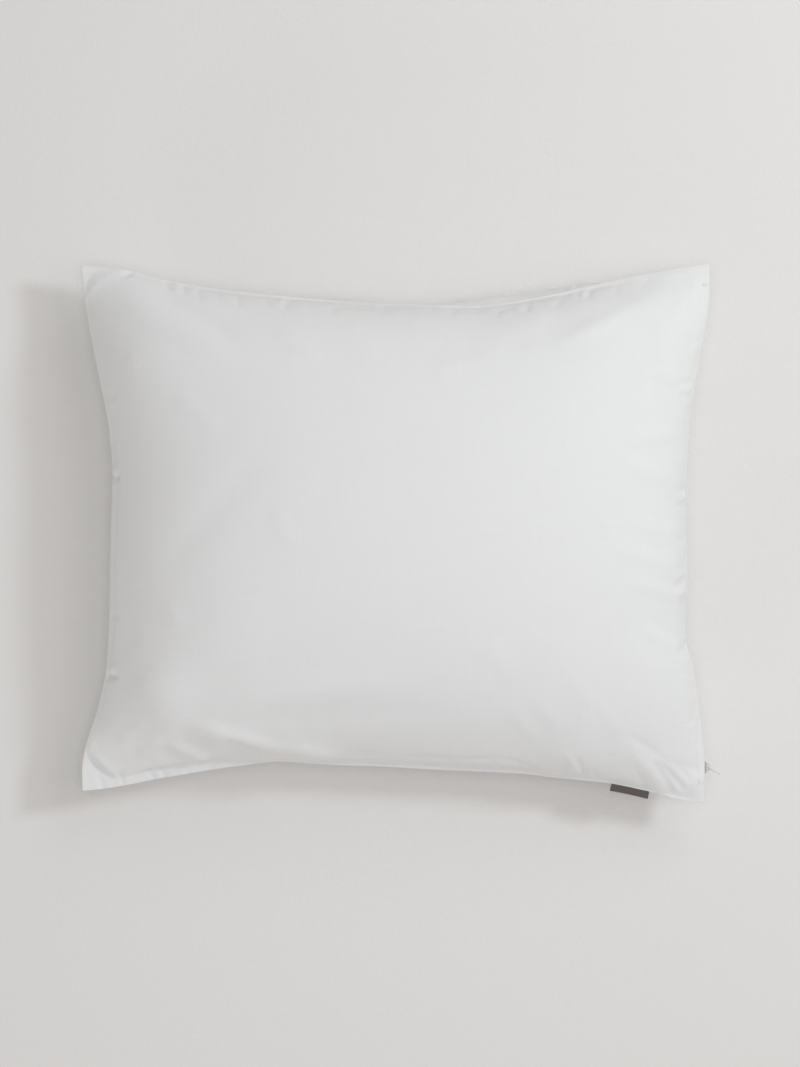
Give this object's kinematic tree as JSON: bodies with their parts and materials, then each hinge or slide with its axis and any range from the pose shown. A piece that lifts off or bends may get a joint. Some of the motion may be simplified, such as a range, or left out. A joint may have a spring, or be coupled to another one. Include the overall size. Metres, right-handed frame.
{
  "type": "zipped pillow protector on its pillow",
  "caption": "Soft rectangular cotton cover filled by a plump pillow, with drawn-in sides, flat corner tips, a zip let into one short side and a folded ribbon label.",
  "frame": {"origin": "on the floor under the middle of the whole part", "axes": "+X along the long sides towards the zip side, +Y across the cover away from the label's side, +Z off the floor"},
  "size_m": [0.5886, 0.4968, 0.1732],
  "materials": {
    "cotton": "plain weave, matt",
    "zip_tape": "woven tape with a polyester coil",
    "zip_metal": "dull nickel",
    "woven_label": "dense woven ribbon, matt"
  },
  "bodies": {
    "root": {"cover": "cotton", "zip_chain": "zip_tape", "zip_slider": "zip_metal", "zip_pull": "zip_metal", "label": "woven_label"}
  },
  "joints": []
}
